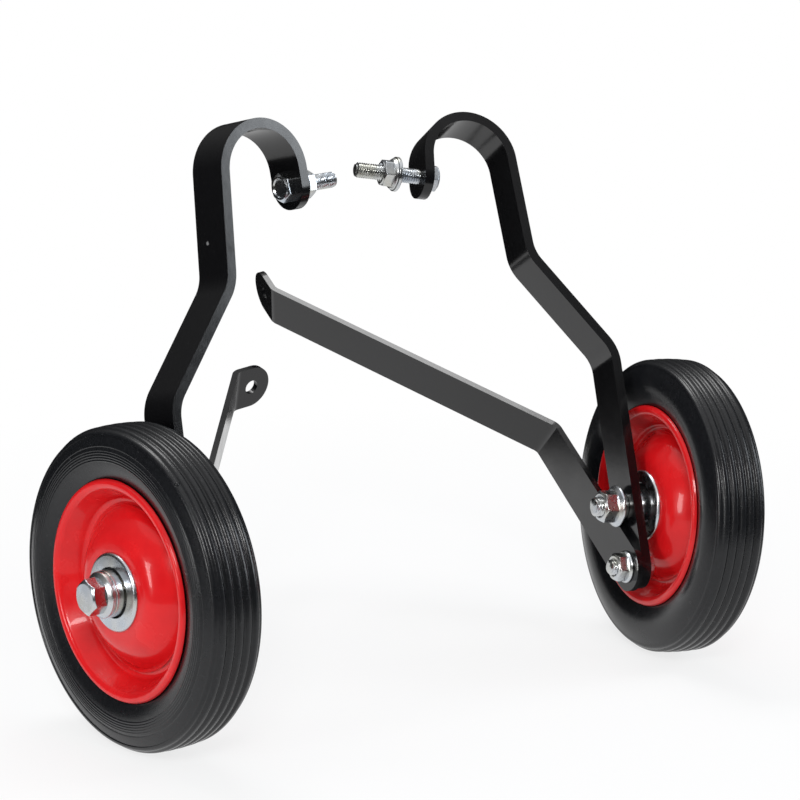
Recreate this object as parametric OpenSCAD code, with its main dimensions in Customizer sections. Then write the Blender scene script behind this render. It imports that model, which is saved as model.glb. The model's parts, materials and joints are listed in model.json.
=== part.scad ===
// A pair of bolt-on training wheels for a small motorcycle: each side has a hooked flat-bar arm,
// a solid-tyred pressed-steel wheel on ball bearings, and a hinged flat-bar brace.
// X runs from the left unit to the right one, Y from front to back, Z up from the floor.

/* [Tyre] */
// Outer diameter of the solid tyre
tyre_d = 152.4; // [145:0.1:165]
// Half width of the ribbed tread band
tread_half = 11.5; // [10:0.1:12.5]
// Number of ribs round the tread
rib_count = 5; // [3:1:7]
// Depth of the grooves between the ribs
groove_depth = 1.2; // [0.6:0.1:1.8]
// How much lower the outer ribs are than the middle one
tread_crown = 0.7; // [0.2:0.1:1.5]
// Radius where the smooth shoulder band starts
shoulder_r = 72; // [69:0.1:72.5]
// Half width of the tyre at the shoulder band
shoulder_half = 13.5; // [12.8:0.1:14.5]
// How far the sidewall bulges beyond a straight line
side_bulge = 2.4; // [0.5:0.1:4]

/* [Rim] */
// Thickness of the pressed rim sheet
rim_t = 1.6; // [1.2:0.1:2]
// Half width of the wheel over the hub faces and rim lips
hub_half = 14.4; // [14:0.1:17]
// Radius where the outer wall of the dish meets the lip
lip_in_r = 49.1; // [48:0.1:50]
// Width of the flat top of the lip
lip_w = 2.2; // [2.2:0.1:3]
// Radius of the bottom of the dish on its hub side
valley_in_r = 39.6; // [38:0.1:40]
// Width of the flat bottom of the dish
valley_w = 1.8; // [1.2:0.1:2.5]
// Radius of the flat hub face of the rim
hub_face_r = 24.2; // [23:0.1:27]

/* [Hub and bearings] */
// Bore of the ball bearings, which is the axle size
axle_d = 10; // [8:0.1:11]
// Outer diameter of the ball bearings
bearing_d = 30; // [29:0.1:31]
// Width of each ball bearing
bearing_w = 9; // [7:0.1:9.5]
// Diameter of the balls
ball_d = 4.76; // [4:0.01:5]
// Number of balls in each bearing
ball_count = 7; // [5:1:8]
// Wall of the hub tube round the bearings
hub_wall = 2; // [1.5:0.1:3]
// Height of the dust caps over the hub faces
cap_h = 1.7; // [1.5:0.1:2.5]
// Outer diameter of the dust caps
cap_d = 37; // [35:0.1:40]
// Hole in the dust caps
cap_hole_d = 23.5; // [23:0.1:25]
// Sheet thickness of the dust caps
cap_t = 1.2; // [0.8:0.1:1.2]

/* [Axle hardware] */
// Gap between the arm and the inner dust cap
wheel_gap = 4.9; // [4.5:0.1:9]
// Diameter of the spacer collars that press on the bearings
collar_d = 16.4; // [15.5:0.1:16.8]
// Diameter of the ring on the outboard spacer
ring_d = 22; // [20:0.1:23]
// Thickness of the ring on the outboard spacer
ring_t = 3.9; // [2:0.1:5]
// Thickness of the axle washer
axle_washer_t = 1.2; // [0.8:0.1:2]
// Length of the axle bolt under its head
axle_len = 65; // [62:0.5:75]
// Width across flats of the axle bolt and nut
axle_af = 15; // [14:0.1:17]
// Height of the axle bolt head with its flange
axle_head_h = 9.2; // [8:0.1:11]
// Height of the axle nut with its flange
axle_nut_h = 10; // [8:0.1:11]
// Diameter of the flanges on the axle bolt and nut
axle_flange_d = 21.5; // [18:0.1:22]
// Diameter of the collar between the arm and the axle nut
nut_collar_d = 14; // [12:0.1:14.5]

/* [Arm] */
// Width of the flat bar of the arm
arm_w = 23; // [21:0.1:25]
// Thickness of the flat bar of the arm
arm_t = 5; // [4:0.1:6]
// Radius of the rounded edges of the arm's bar
arm_edge = 0.8; // [0.3:0.1:1.5]
// Distance from the axle down to the brace bolt
bolt_drop = 32; // [31.5:0.1:36]
// Height of the corner of the first bend over the axle
knee_up = 81.6; // [70:0.1:100]
// Angle of the first bend
knee_turn = 38; // [20:0.1:45]
// Length of the sloped leg between the corners of the two bends
slope_len = 66.7; // [50:0.1:90]
// Lean left in the arm after the second bend
top_lean = 3.7; // [0:0.1:8]
// Centreline radius of the two bends
bend_r = 20; // [12:0.1:25]
// Length from the second corner to the start of the hook
top_len = 53.6; // [40:0.1:70]
// Inner radius of the hook
hook_r = 21.2; // [18:0.1:25]
// Angle that the hook turns through
hook_turn = 172; // [160:0.1:180]
// Length from the end of the hook's curve to its bolt
hook_hole_drop = 8.8; // [8:0.1:14]

/* [Braces] */
// Width of the flat bar of the braces
brace_w = 25; // [22:0.1:26]
// Thickness of the flat bar of the braces
brace_t = 3.2; // [2.5:0.1:4]
// Radius of the rounded edges of the braces' bar
brace_edge = 0.6; // [0.3:0.1:1]
// Centreline radius of the bends in the braces
brace_bend_r = 8; // [6:0.1:10]
// Hole in the tab of each brace
tab_hole_d = 8.5; // [6.5:0.1:10]

/* [Left brace] */
// Swing of the left brace from the line of the arm
left_swing = 59; // [45:0.1:85]
// Straight length of the left brace to its first bend
left_foot_len = 17.2; // [15:0.1:40]
// Angle of the first bend of the left brace
left_turn = 43.3; // [20:0.1:55]
// Slant of the first bend of the left brace
left_slant = -9; // [-15:0.1:15]
// Straight length of the long part of the left brace
left_long_len = 229.4; // [150:0.1:240]
// Angle of the tab of the left brace
left_tab_turn = 44.4; // [10:0.1:50]
// Straight length of the tab of the left brace to its hole
left_tab_len = 8.6; // [8:0.1:15]

/* [Right brace] */
// Swing of the right brace from the line of the arm
right_swing = 38; // [38:0.1:80]
// Straight length of the right brace to its first bend
right_foot_len = 109; // [60:0.1:120]
// Angle of the first bend of the right brace
right_turn = 39; // [20:0.1:50]
// Slant of the first bend of the right brace
right_slant = 23.5; // [-10:0.1:25]
// Straight length of the long part of the right brace
right_long_len = 187; // [150:0.1:230]
// Angle of the tab of the right brace, bent back from the first bend
right_tab_turn = -29.1; // [-45:0.1:-10]
// Straight length of the tab of the right brace to its hole
right_tab_len = 10.7; // [8:0.1:15]

/* [Small bolts] */
// Diameter of the brace bolt and hook bolt
bolt_d = 8; // [6:0.1:8.4]
// Width across flats of the small bolts and nuts
bolt_af = 13; // [10:0.1:14]
// Height of the heads of the small bolts
bolt_head_h = 5.3; // [4:0.1:5.5]
// Height of the small nuts with their flange
nut_h = 7.4; // [6:0.1:9]
// Diameter of the flanges on the small nuts
nut_flange_d = 16.6; // [15:0.1:17.5]
// Diameter of the hook washers
washer_d = 18; // [16:0.1:20]
// Thickness of the hook washers
washer_t = 1.8; // [1:0.1:2.5]
// Length that the brace bolt stands out of its nut
brace_bolt_out = 2.6; // [1:0.1:6]
// Length of the left hook bolt under its head
left_hook_bolt_len = 30; // [22:0.5:45]
// Length of the right hook bolt under its head
right_hook_bolt_len = 40; // [35:0.5:50]
// How far the right hook nut and washer are backed off from the arm
right_nut_back = 11.6; // [0:0.1:14]

/* [Placing of the units] */
// Place of the left wheel across the pair
left_wheel_x = -145.5; // [-200:0.1:-120]
// Place of the left wheel from front to back
left_wheel_y = -77.6; // [-120:0.1:-40]
// Place of the right wheel across the pair
right_wheel_x = 145.5; // [120:0.1:200]
// Place of the right wheel from front to back
right_wheel_y = -101.2; // [-140:0.1:-60]
// Lean of the left arm to the front, about its axle
left_lean = 10.6; // [0:0.1:30]
// Lean of the right arm to the front, about its axle
right_lean = 27.6; // [0:0.1:35]
// Toe angle of the left unit
left_toe = 9.8; // [0:0.1:15]
// Toe angle of the right unit
right_toe = -9.7; // [-15:0.1:0]
// Camber of the left wheel
left_camber = 1.9; // [0:0.1:6]
// Camber of the right wheel
right_camber = 5.1; // [0:0.1:6]

/* [Hidden] */
$fn = 96;
paint_black = [0.03, 0.03, 0.035];
paint_red = [0.8, 0.04, 0.04];
rubber = [0.1, 0.1, 0.1];
zinc = [0.75, 0.76, 0.78];
steel = [0.6, 0.6, 0.62];
// Clearance between pieces that are pressed or slid together
fit_gap = 0.05;
// Running clearance at a pivot, on the radius
pivot_gap = 0.05;
// Clearance between plates that turn against each other
face_gap = 0.1;
// Clearance of a bolt in a plain hole, on the radius
hole_gap = 0.25;
// Clearance that lets the brace turn under the axle nut
nut_clear = 0.4;
// Largest angle of one flat in a bend of a bar
bend_step = 7;
tyre_r = tyre_d / 2;
axle_r = axle_d / 2;
cap_face = hub_half + cap_h;
hub_x = arm_t / 2 + wheel_gap + cap_face;
ring_gap = 0.4;
bearing_face = hub_half - 0.3;
bearing_in = bearing_face - bearing_w;
race_t = (bearing_d / 2 - axle_r - ball_d) / 2 * 0.72;
inner_ring_r = axle_r + race_t + 1.8;
outer_ring_r = bearing_d / 2 - race_t - 1;
pitch_r = (inner_ring_r + outer_ring_r) / 2;
stack_ring = cap_face + ring_gap;
stack_washer = stack_ring + ring_t;
stack_head = stack_washer + axle_washer_t;
collar_len = brace_t + face_gap + nut_clear;
brace_x = -(arm_t / 2 + face_gap + brace_t / 2);
hook_mid_r = hook_r + arm_t / 2;
knee_cut = bend_r * tan(knee_turn / 2);
top_turn = knee_turn - top_lean;
top_cut = bend_r * tan(top_turn / 2);
tail_len = hook_hole_drop;
rib_pitch = 2 * tread_half / rib_count;

// Bars: a bent flat bar is a list of steps, each [straight length, turn, bend radius, slant].
// A positive turn bends the bar to its inner side, and the slant tilts the bend line.

arm_steps = [
    [bolt_drop + knee_up - knee_cut, knee_turn, bend_r, 0],
    [slope_len - knee_cut - top_cut, -top_turn, bend_r, 0],
    [top_len - top_cut, hook_turn, hook_mid_r, 0]
];
left_steps = [
    [left_foot_len, left_turn, brace_bend_r, left_slant],
    [left_long_len, left_tab_turn, brace_bend_r, 0]
];
right_steps = [
    [right_foot_len, right_turn, brace_bend_r, right_slant],
    [right_long_len, right_tab_turn, brace_bend_r, 0]
];

function arc_len(turn, r) = abs(turn) * PI / 180 * r;
function bend_shift(step) = arc_len(step[1], step[2]) * tan(step[3]);

module past_bend(step) {
    c = sign(step[1]) * step[2];
    rotate([step[3], 0, 0])
        translate([-c, bend_shift(step), 0])
            rotate([0, -step[1], 0])
                translate([c, 0, 0])
                    rotate([-step[3], 0, 0])
                        children();
}

module along_bar(steps, n, i = 0) {
    if (i == n)
        children();
    else
        translate([0, 0, steps[i][0]])
            past_bend(steps[i])
                along_bar(steps, n, i + 1)
                    children();
}

// A place on a bar is [point, direction across, direction along]
function outward(place) = cross(place[1], place[2]);
function moved(place, len) = [place[0] + len * place[2], place[1], place[2]];
function bent(place, step, share) =
    let (
        c = sign(step[1]) * step[2],
        a = step[1] * share,
        n = outward(place),
        axis = cos(step[3]) * place[1] + sin(step[3]) * place[2],
        t = cos(step[3]) * place[2] - sin(step[3]) * place[1],
        n_new = cos(a) * n + sin(a) * t,
        t_new = cos(a) * t - sin(a) * n
    )
    [place[0] - c * n + c * n_new + share * bend_shift(step) * axis,
     cos(step[3]) * axis - sin(step[3]) * t_new,
     sin(step[3]) * axis + cos(step[3]) * t_new];

// A bar's section with rounded edges, as [thickness way, width way]
function bar_section(w, t, edge) = [
    for (corner = [[1, -1, -90], [1, 1, 0], [-1, 1, 90], [-1, -1, 180]])
        for (a = [0, 45, 90])
            [corner[0] * (t / 2 - edge) + edge * cos(corner[2] + a),
             corner[1] * (w / 2 - edge) + edge * sin(corner[2] + a)]
];
function section_at(place, slant, section) = [
    for (p = section) place[0] + p[0] * outward(place) + p[1] * (place[1] + tan(slant) * place[2])
];
function bend_parts(step) = max(2, ceil(abs(step[1]) / bend_step));
function bar_rings(steps, tail, end, section, place, i = 0) =
    i == len(steps) ? [section_at(moved(place, tail + end), 0, section)] :
    let (start = moved(place, steps[i][0]), parts = bend_parts(steps[i]))
    concat(
        [for (k = [0 : parts]) section_at(bent(start, steps[i], k / parts), steps[i][3], section)],
        bar_rings(steps, tail, end, section, bent(start, steps[i], 1), i + 1)
    );

// Joins a list of rings of points into one closed skin
module skin(rings) {
    m = len(rings[0]);
    n = len(rings);
    polyhedron(
        points = [for (ring = rings) each ring],
        faces = concat(
            [[for (i = [0 : m - 1]) i], [for (i = [m - 1 : -1 : 0]) (n - 1) * m + i]],
            [for (k = [0 : n - 2], i = [0 : m - 1])
                [k * m + i, (k + 1) * m + i, (k + 1) * m + (i + 1) % m]],
            [for (k = [0 : n - 2], i = [0 : m - 1])
                [k * m + i, (k + 1) * m + (i + 1) % m, k * m + (i + 1) % m]]
        )
    );
}

// Cuts the corners off the end of a bar, round its last hole
module round_off(w, t) {
    arc = [for (a = [0 : 7.5 : 180]) w / 2 * [cos(a), sin(a)]];
    lead = (arc[0] - arc[1]) / 2;
    rotate([90, 0, 90])
        linear_extrude(height = 3 * t, center = true)
            polygon(concat([arc[0] + lead], arc, [
                [-arc[0][0] - lead[0], lead[1]], [-w, lead[1]], [-w, w], [w, w], [w, lead[1]]
            ]));
}

module bar_hole(d, t)
    rotate([0, 90, 0])
        cylinder(d = d, h = 3 * t, center = true);

// A whole bar: its first round end is about the start, its last one about the end of the tail
module bent_bar(w, t, edge, steps, tail) {
    start = [[0, 0, 0], [0, 1, 0], [0, 0, 1]];
    over = w / 2 + 0.5;
    section = bar_section(w, t, edge);
    difference() {
        skin(concat([section_at(moved(start, -over), 0, section)],
                    bar_rings(steps, tail, over, section, start)));
        mirror([0, 0, 1])
            round_off(w, t);
        along_bar(steps, len(steps))
            translate([0, 0, tail])
                round_off(w, t);
    }
}

// Outlines: corners are rounded with arcs, and a pressed sheet is a path with a back offset

function unit(v) = v / norm(v);
function turn_between(a, b) = (b - a + 540) % 360 - 180;
function corner_arc(a, b, c, r, n) =
    let (
        u = unit(a - b),
        v = unit(c - b),
        half = acos(u * v) / 2,
        centre = b + unit(u + v) * r / sin(half),
        p = b + u * r / tan(half) - centre,
        q = b + v * r / tan(half) - centre,
        start = atan2(p[1], p[0]),
        sweep = turn_between(start, atan2(q[1], q[0]))
    )
    [for (i = [0 : n]) centre + r * [cos(start + sweep * i / n), sin(start + sweep * i / n)]];
function rounded_path(pts, radii, n) = [
    pts[0],
    for (i = [1 : len(pts) - 2])
        each corner_arc(pts[i - 1], pts[i], pts[i + 1], radii[i - 1], n),
    pts[len(pts) - 1]
];
function path_dir(p, i) =
    i == 0 ? unit(p[1] - p[0]) :
    i == len(p) - 1 ? unit(p[i] - p[i - 1]) :
    unit(unit(p[i] - p[i - 1]) + unit(p[i + 1] - p[i]));
function behind(p, i, t) = let (d = path_dir(p, i)) p[i] + t * [d[1], -d[0]];
function sheet_outline(p, t) = concat(p, [for (i = [len(p) - 1 : -1 : 0]) behind(p, i, t)]);

// Rim and tyre sections, as [radius, distance from the wheel's mid plane]

valley_h = rim_t + fit_gap;
lip_drop = 1.9;
lip_slope = 0.9;
rim_corners = [
    [bearing_d / 2 + hub_wall + fit_gap, hub_half],
    [hub_face_r, hub_half],
    [valley_in_r, valley_h],
    [valley_in_r + valley_w, valley_h],
    [lip_in_r, hub_half],
    [lip_in_r + lip_w, hub_half],
    [lip_in_r + lip_w + lip_slope, hub_half - lip_drop]
];
rim_path = rounded_path(rim_corners, [5, 2.4, 2.4, 1.8, 1.8], 5);
lip_edge_r = lip_in_r + lip_w + lip_slope;
wall_dir = unit([lip_in_r - valley_in_r - valley_w, hub_half - valley_h]);
seat_gap = 0.15;
wall_back = [valley_in_r + valley_w, valley_h] + (rim_t + seat_gap) * [wall_dir[1], -wall_dir[0]];
function seat_r(h) = wall_back[0] + (h - wall_back[1]) * wall_dir[0] / wall_dir[1];
notch_h = hub_half - lip_drop - rim_t + seat_gap * 3;
side_r = lip_edge_r + 0.25;
side_half = hub_half - lip_drop;
tread_edge_r = tyre_r - tread_crown - groove_depth;

function tread_r(h) =
    tyre_r - tread_crown * pow(h / tread_half, 2)
    - groove_depth * pow(abs(sin(180 * h / rib_pitch + (rib_count % 2 == 0 ? 90 : 0))), 8);
tyre_half_section = concat(
    [[seat_r(notch_h), notch_h], [side_r, notch_h]],
    [for (i = [0 : 12])
        let (s = i / 12)
        [side_r + s * (shoulder_r - side_r),
         side_half + s * (shoulder_half - side_half) + side_bulge * sin(180 * s)]],
    [for (a = [15 : 15 : 90])
        [shoulder_r + (tread_edge_r - shoulder_r) * sin(a),
         tread_half + (shoulder_half - tread_half) * cos(a)]],
    [for (i = [rib_count * 6 - 1 : -1 : 1])
        let (h = tread_half * i / (rib_count * 6))
        [tread_r(h), h]]
);
tyre_section = concat(
    [[seat_r(0), 0]],
    tyre_half_section,
    [[tread_r(0), 0]],
    [for (i = [len(tyre_half_section) - 1 : -1 : 0])
        [tyre_half_section[i][0], -tyre_half_section[i][1]]]
);
function wheel_z(camber) = max([for (p = tyre_section) p[0] * cos(camber) + p[1] * sin(camber)]);

// Placing

module left()
    translate([left_wheel_x, left_wheel_y, wheel_z(left_camber)])
        rotate([-left_lean, left_camber, left_toe])
            mirror([1, 0, 0])
                translate([-hub_x, 0, 0])
                    children();

module right()
    translate([right_wheel_x, right_wheel_y, wheel_z(right_camber)])
        rotate([-right_lean, right_camber, right_toe])
            translate([-hub_x, 0, 0])
                children();

module on_axle(x)
    translate([x, 0, 0])
        rotate([0, 90, 0])
            children();

module at_hook_bolt()
    translate([0, 0, -bolt_drop])
        along_bar(arm_steps, len(arm_steps))
            translate([0, 0, tail_len])
                rotate([0, 90, 0])
                    children();

// Fastener shapes, standing on z = 0

module hex_body(af, h, top_cut_h)
    intersection() {
        cylinder(d = af / cos(30), h = h, $fn = 6);
        rotate_extrude()
            polygon([[0, 0], [af * 0.6, 0], [af * 0.6, h - top_cut_h - (af * 0.6 - af * 0.48) / 2],
                     [af * 0.48, h - top_cut_h], [af * 0.44, h], [0, h]]);
    }

module flange(d, af, h)
    rotate_extrude()
        polygon([[0, 0], [d / 2, 0], [d / 2, h * 0.4], [af * 0.5, h], [0, h]]);

module flange_hex(af, h, flange_d) {
    flange(flange_d, af, h * 0.26);
    hex_body(af, h, 0.5);
}

module nut(d, af, h, flange_d)
    difference() {
        flange_hex(af, h, flange_d);
        translate([0, 0, -1])
            cylinder(r = d / 2 + fit_gap, h = h + 2);
        translate([0, 0, h - 0.6])
            rotate_extrude()
                polygon([[0, 0], [d / 2 + fit_gap, 0], [d / 2 + 0.9, 0.7], [0, 0.7]]);
    }

module shank(d, len)
    rotate_extrude()
        polygon([[0, 0], [d / 2, 0], [d / 2, len - 1], [d / 2 - 1, len], [0, len]]);

module ring(d_out, d_in, h)
    difference() {
        cylinder(d = d_out, h = h);
        translate([0, 0, -1])
            cylinder(d = d_in, h = h + 2);
    }

// Arm and brace

module arm()
    color(paint_black)
        difference() {
            translate([0, 0, -bolt_drop])
                bent_bar(arm_w, arm_t, arm_edge, arm_steps, tail_len);
            bar_hole(axle_d + 2 * hole_gap, arm_t);
            translate([0, 0, -bolt_drop])
                bar_hole(bolt_d + 2 * hole_gap, arm_t);
            at_hook_bolt()
                cylinder(d = bolt_d + 2 * hole_gap, h = 3 * arm_t, center = true);
        }

module brace(steps, swing, tab)
    color(paint_black)
        translate([brace_x, 0, -bolt_drop])
            rotate([-swing, 0, 0])
                difference() {
                    bent_bar(brace_w, brace_t, brace_edge, steps, tab);
                    bar_hole(bolt_d + 2 * pivot_gap, brace_t);
                    along_bar(steps, len(steps))
                        translate([0, 0, tab])
                            bar_hole(tab_hole_d, brace_t);
                }

module brace_bolt()
    color(zinc)
        translate([0, 0, -bolt_drop])
            on_axle(arm_t / 2) {
                hex_body(bolt_af, bolt_head_h, 0.3);
                mirror([0, 0, 1])
                    shank(bolt_d, arm_t + brace_t + 2 * face_gap + nut_h + brace_bolt_out);
            }

module brace_nut()
    color(zinc)
        translate([0, 0, -bolt_drop])
            on_axle(brace_x - brace_t / 2 - face_gap)
                mirror([0, 0, 1])
                    nut(bolt_d, bolt_af, nut_h, nut_flange_d);

module hook_bolt(len)
    color(zinc)
        at_hook_bolt()
            translate([0, 0, -arm_t / 2])
                mirror([0, 0, 1]) {
                    hex_body(bolt_af, bolt_head_h, 0.3);
                    mirror([0, 0, 1])
                        shank(bolt_d, len);
                }

module hook_washer(back)
    color(zinc)
        at_hook_bolt()
            translate([0, 0, arm_t / 2 + back])
                ring(washer_d, bolt_d + 2 * fit_gap, washer_t);

module hook_nut(back)
    color(zinc)
        at_hook_bolt()
            translate([0, 0, arm_t / 2 + back + washer_t])
                nut(bolt_d, bolt_af, nut_h, nut_flange_d);

// Wheel

module on_wheel(side)
    on_axle(hub_x)
        mirror([0, 0, side < 0 ? 1 : 0])
            children();

module tyre()
    color(rubber)
        on_wheel(1)
            rotate_extrude()
                polygon(tyre_section);

module rim_half(side)
    color(paint_red)
        on_wheel(side)
            rotate_extrude()
                polygon(sheet_outline(rim_path, rim_t));

module hub_tube()
    color(paint_red)
        on_wheel(1)
            ring_span(bearing_d / 2 + hub_wall, bearing_d / 2 + fit_gap, -hub_half, hub_half);

module ring_span(r_out, r_in, low, high)
    translate([0, 0, low])
        ring(2 * r_out, 2 * r_in, high - low);

module dust_cap(side)
    color(zinc)
        on_wheel(side)
            rotate_extrude()
                polygon(sheet_outline(rounded_path(
                    [[cap_hole_d / 2, cap_face], [cap_d / 2, cap_face], [cap_d / 2, hub_half]],
                    [cap_t + 0.3], 6), cap_t));

module ball_track()
    rotate_extrude()
        translate([pitch_r, 0])
            circle(r = ball_d / 2 + fit_gap, $fn = 48);

module bearing_mid(side)
    on_wheel(side)
        translate([0, 0, bearing_in + bearing_w / 2])
            children();

module bearing_outer_ring(side)
    color(steel)
        bearing_mid(side)
            difference() {
                ring_span(bearing_d / 2, outer_ring_r, -bearing_w / 2, bearing_w / 2);
                ball_track();
            }

module bearing_inner_ring(side)
    color(steel)
        bearing_mid(side)
            difference() {
                ring_span(inner_ring_r, axle_r + fit_gap, -bearing_w / 2, bearing_w / 2);
                ball_track();
            }

module bearing_balls(side)
    color(steel)
        bearing_mid(side)
            for (i = [0 : ball_count - 1])
                rotate([0, 0, 360 * i / ball_count])
                    translate([pitch_r, 0, 0])
                        sphere(d = ball_d, $fn = 32);

module bearing_seals(side)
    color(rubber)
        bearing_mid(side)
            for (end = [-1, 1])
                translate([0, 0, end * (bearing_w / 2 - 0.6) - 0.3])
                    ring(2 * outer_ring_r - 2 * fit_gap, 2 * inner_ring_r + 4 * fit_gap, 0.6);

module bearing_spacer_tube()
    color(steel)
        on_wheel(1)
            ring_span(inner_ring_r - 1, axle_r + fit_gap, -bearing_in, bearing_in);

// Axle

module axle_bolt()
    color(zinc)
        on_axle(hub_x + stack_head) {
            flange_hex(axle_af, axle_head_h, axle_flange_d);
            mirror([0, 0, 1])
                shank(axle_d, axle_len);
        }

module axle_washer()
    color(zinc)
        on_wheel(1)
            ring_span(ring_d / 2 - 0.5, axle_r + hole_gap, stack_washer, stack_head);

module outboard_spacer()
    color(zinc)
        on_wheel(1)
            difference() {
                union() {
                    ring_span(collar_d / 2, axle_r / 2, bearing_face, stack_washer);
                    ring_span(ring_d / 2, axle_r / 2, stack_ring, stack_washer);
                }
                cylinder(r = axle_r + fit_gap, h = 2 * stack_head);
            }

module inboard_spacer()
    color(zinc)
        on_axle(arm_t / 2)
            ring(collar_d, axle_d + 2 * fit_gap, hub_x - bearing_face - arm_t / 2);

module nut_collar()
    color(zinc)
        on_axle(-arm_t / 2 - collar_len)
            ring(nut_collar_d, axle_d + 2 * fit_gap, collar_len);

module axle_nut()
    color(zinc)
        on_axle(-arm_t / 2 - collar_len)
            mirror([0, 0, 1])
                nut(axle_d, axle_af, axle_nut_h, axle_flange_d);

left() arm();  // left_arm
left() brace(left_steps, left_swing, left_tab_len);  // left_brace
left() brace_bolt();  // left_brace_bolt
left() brace_nut();  // left_brace_nut
left() hook_bolt(left_hook_bolt_len);  // left_hook_bolt
left() hook_washer(0);  // left_hook_washer
left() hook_nut(0);  // left_hook_nut
left() tyre();  // left_tyre
left() rim_half(1);  // left_rim_outer_half
left() rim_half(-1);  // left_rim_inner_half
left() hub_tube();  // left_hub_tube
left() dust_cap(1);  // left_dust_cap_outer
left() dust_cap(-1);  // left_dust_cap_inner
left() bearing_outer_ring(1);  // left_outer_bearing_outer_ring
left() bearing_inner_ring(1);  // left_outer_bearing_inner_ring
left() bearing_balls(1);  // left_outer_bearing_balls
left() bearing_seals(1);  // left_outer_bearing_seals
left() bearing_outer_ring(-1);  // left_inner_bearing_outer_ring
left() bearing_inner_ring(-1);  // left_inner_bearing_inner_ring
left() bearing_balls(-1);  // left_inner_bearing_balls
left() bearing_seals(-1);  // left_inner_bearing_seals
left() bearing_spacer_tube();  // left_bearing_spacer_tube
left() axle_bolt();  // left_axle_bolt
left() axle_washer();  // left_axle_washer
left() outboard_spacer();  // left_outboard_spacer
left() inboard_spacer();  // left_inboard_spacer
left() nut_collar();  // left_nut_collar
left() axle_nut();  // left_axle_nut
right() arm();  // right_arm
right() brace(right_steps, right_swing, right_tab_len);  // right_brace
right() brace_bolt();  // right_brace_bolt
right() brace_nut();  // right_brace_nut
right() hook_bolt(right_hook_bolt_len);  // right_hook_bolt
right() hook_washer(right_nut_back);  // right_hook_washer
right() hook_nut(right_nut_back);  // right_hook_nut
right() tyre();  // right_tyre
right() rim_half(1);  // right_rim_outer_half
right() rim_half(-1);  // right_rim_inner_half
right() hub_tube();  // right_hub_tube
right() dust_cap(1);  // right_dust_cap_outer
right() dust_cap(-1);  // right_dust_cap_inner
right() bearing_outer_ring(1);  // right_outer_bearing_outer_ring
right() bearing_inner_ring(1);  // right_outer_bearing_inner_ring
right() bearing_balls(1);  // right_outer_bearing_balls
right() bearing_seals(1);  // right_outer_bearing_seals
right() bearing_outer_ring(-1);  // right_inner_bearing_outer_ring
right() bearing_inner_ring(-1);  // right_inner_bearing_inner_ring
right() bearing_balls(-1);  // right_inner_bearing_balls
right() bearing_seals(-1);  // right_inner_bearing_seals
right() bearing_spacer_tube();  // right_bearing_spacer_tube
right() axle_bolt();  // right_axle_bolt
right() axle_washer();  // right_axle_washer
right() outboard_spacer();  // right_outboard_spacer
right() inboard_spacer();  // right_inboard_spacer
right() nut_collar();  // right_nut_collar
right() axle_nut();  // right_axle_nut
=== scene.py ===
import json
import bpy
import numpy as np
from mathutils import Matrix


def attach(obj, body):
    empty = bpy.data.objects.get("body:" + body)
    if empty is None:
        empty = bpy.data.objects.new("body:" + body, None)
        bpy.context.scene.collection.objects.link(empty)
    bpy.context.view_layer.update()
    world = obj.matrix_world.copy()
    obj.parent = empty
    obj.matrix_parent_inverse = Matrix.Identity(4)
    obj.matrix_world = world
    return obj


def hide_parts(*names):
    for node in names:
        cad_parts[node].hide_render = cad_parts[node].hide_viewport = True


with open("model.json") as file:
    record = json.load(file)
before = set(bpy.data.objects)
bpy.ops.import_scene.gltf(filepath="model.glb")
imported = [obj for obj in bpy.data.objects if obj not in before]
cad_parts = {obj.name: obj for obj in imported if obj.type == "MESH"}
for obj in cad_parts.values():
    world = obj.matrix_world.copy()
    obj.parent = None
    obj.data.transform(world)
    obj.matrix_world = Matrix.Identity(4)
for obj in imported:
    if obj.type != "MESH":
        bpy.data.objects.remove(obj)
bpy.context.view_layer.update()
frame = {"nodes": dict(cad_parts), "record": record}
print("frame loaded:", len(frame["nodes"]), "solids")

# Everything below is in metres and degrees. A unit is worked out in its own frame, with its origin on
# the axle in the middle of the arm's foot, x out to the wheel, y to the back and z up, and is then set
# in place. hubX is where the wheel's middle plane is, and boltDrop is how far the brace bolt is below.

units = {
    "left": {"side": -1, "wheel": (-.1455, -.0776, .076204), "lean": 10.6, "toe": 9.8, "camber": 1.9},
    "right": {"side": 1, "wheel": (.1455, -.1012, .076272), "lean": 27.6, "toe": -9.7, "camber": 5.1},
}
hubX = .0235
boltDrop = .032


def turnMatrix(axis, degrees):
    # turns by an angle about one axis, the right-handed way
    return np.array(Matrix.Rotation(np.radians(degrees), 3, axis))


def setInPlace(points, unit):
    # mirror x on the left side, lean, camber and toe the unit, then move it to the wheel's centre
    u = units[unit]
    turn = turnMatrix("Z", u["toe"]) @ turnMatrix("Y", u["camber"]) @ turnMatrix("X", -u["lean"])
    local = (points - np.array([hubX, 0, 0])) * np.array([u["side"], 1, 1])
    return local @ turn.T + np.array(u["wheel"])


camera = {"place": (-.5598, -.9688, .3699), "heading": 32.0, "down": 12.0, "roll": -.78, "lens": 99.0}


def makeCamera():
    # the view runs along the heading, tilted down, and the right-hand side is rolled a little
    a, d, r = (np.radians(camera[k]) for k in ("heading", "down", "roll"))
    ahead = np.array([np.sin(a) * np.cos(d), np.cos(a) * np.cos(d), -np.sin(d)])
    level = np.array([np.cos(a), -np.sin(a), 0])
    above = np.cross(level, ahead)
    right = np.cos(r) * level + np.sin(r) * above
    up = np.cross(right, ahead)
    data = bpy.data.cameras.new("camera")
    data.lens = camera["lens"]
    data.sensor_width = 36
    data.clip_end = 20
    obj = bpy.data.objects.new("camera", data)
    pose = Matrix(np.column_stack([right, up, -ahead]).tolist()).to_4x4()
    pose.translation = camera["place"]
    obj.matrix_world = pose
    bpy.context.scene.collection.objects.link(obj)
    bpy.context.scene.camera = obj


makeCamera()
print("camera set")


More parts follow.
